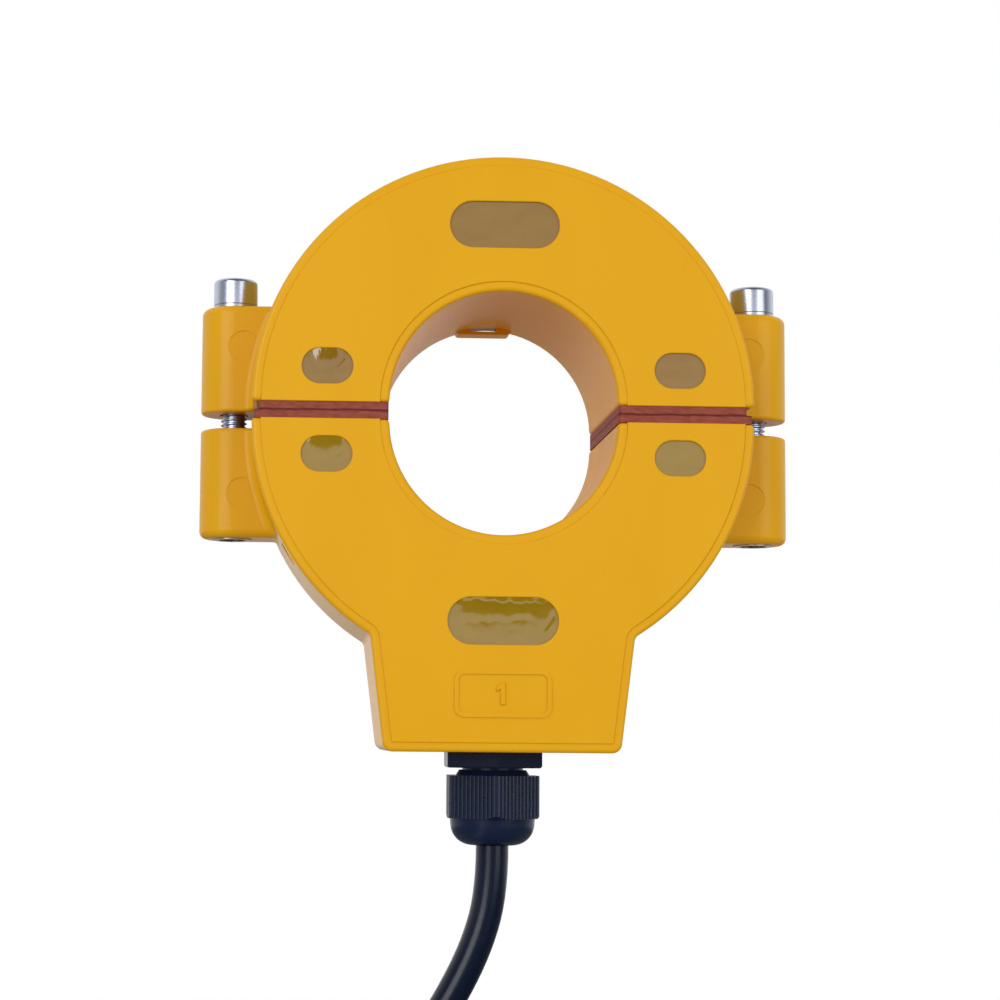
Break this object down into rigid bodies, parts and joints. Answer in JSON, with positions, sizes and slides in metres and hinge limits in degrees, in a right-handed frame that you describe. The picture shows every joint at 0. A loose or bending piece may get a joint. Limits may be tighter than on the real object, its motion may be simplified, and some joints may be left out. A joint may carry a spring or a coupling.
{
  "type": "split-core current transformer",
  "caption": "Split-core current transformer: a ring in two halves, screwed together round a conductor, with a ribbed cable gland and a lead.",
  "frame": {"origin": "centre of the lower half's bore arc, on that half's split plane, half way along the bore", "axes": "+Y along the conductor towards the back, +Z away from the wiring box, +X to the right seen from the front"},
  "size_m": [0.134, 0.0503, 0.3232],
  "materials": {
    "housing": "satin moulded, yellow-orange",
    "core_steel": "strip-wound silicon steel",
    "winding_wire": "enamelled copper wire",
    "film": "amber insulating film",
    "gasket": "red-brown, matt",
    "screw_steel": "bright plated",
    "washer_steel": "bright plated",
    "insert_metal": "turned, plated",
    "gland": "black nylon",
    "seal": "black",
    "splice": "heat-shrink sleeve",
    "core_insulation_1": "red",
    "core_insulation_2": "black",
    "cable_jacket": "satin, blue-black",
    "potting": "cast resin",
    "tie": "black nylon",
    "ferrule": "tinned, plastic collar"
  },
  "bodies": {
    "lower_half": {"lower_housing": "housing", "lower_core": "core_steel", "secondary_winding": "winding_wire", "winding_lead_1": "winding_wire", "winding_lead_2": "winding_wire", "lower_core_wrap": "film", "gland_body": "gland", "gland_nut": "gland", "gland_seal": "seal", "splice_sleeve_1": "splice", "splice_sleeve_2": "splice", "cable_core_1": "core_insulation_1", "tail_core_1": "core_insulation_1", "cable_core_2": "core_insulation_2", "tail_core_2": "core_insulation_2", "cable_entry": "cable_jacket", "lead_cable": "cable_jacket", "cable_tail": "cable_jacket", "cable_coil": "cable_jacket", "chamber_potting": "potting", "coil_tie_upper": "tie", "coil_tie_lower": "tie", "ferrule_1": "ferrule", "ferrule_2": "ferrule", "lower_gasket_left": "gasket", "left_insert": "insert_metal", "lower_gasket_right": "gasket", "right_insert": "insert_metal"},
    "upper_half": {"upper_housing": "housing", "upper_core": "core_steel", "upper_core_wrap": "film", "upper_gasket_left": "gasket", "upper_gasket_right": "gasket"},
    "left_washer": {"left_spring_washer": "washer_steel"},
    "left_screw": {"left_screw": "screw_steel"},
    "right_washer": {"right_spring_washer": "washer_steel"},
    "right_screw": {"right_screw": "screw_steel"}
  },
  "joints": [
    {"name": "upper_lift", "type": "slide", "parent": "lower_half", "child": "upper_half", "axis": [0, 0, 1], "range_m": [0, 0.06]},
    {"name": "left_screw_turn", "type": "hinge", "parent": "upper_half", "child": "left_washer", "pos_m": [-0.0595, 0, 0.0288], "axis": [0, 0, 1], "range_deg": [0, 4356]},
    {"name": "left_screw_rise", "type": "slide", "parent": "left_washer", "child": "left_screw", "axis": [0, 0, 1], "range_m": [0, 0.012]},
    {"name": "right_screw_turn", "type": "hinge", "parent": "upper_half", "child": "right_washer", "pos_m": [0.0595, 0, 0.0288], "axis": [0, 0, 1], "range_deg": [0, 4356]},
    {"name": "right_screw_rise", "type": "slide", "parent": "right_washer", "child": "right_screw", "axis": [0, 0, 1], "range_m": [0, 0.012]}
  ],
  "couplings": [
    {"joint": "left_screw_turn", "follows": "left_screw_rise", "rad_per_m": 6283.2},
    {"joint": "right_screw_turn", "follows": "right_screw_rise", "rad_per_m": 6283.2}
  ]
}
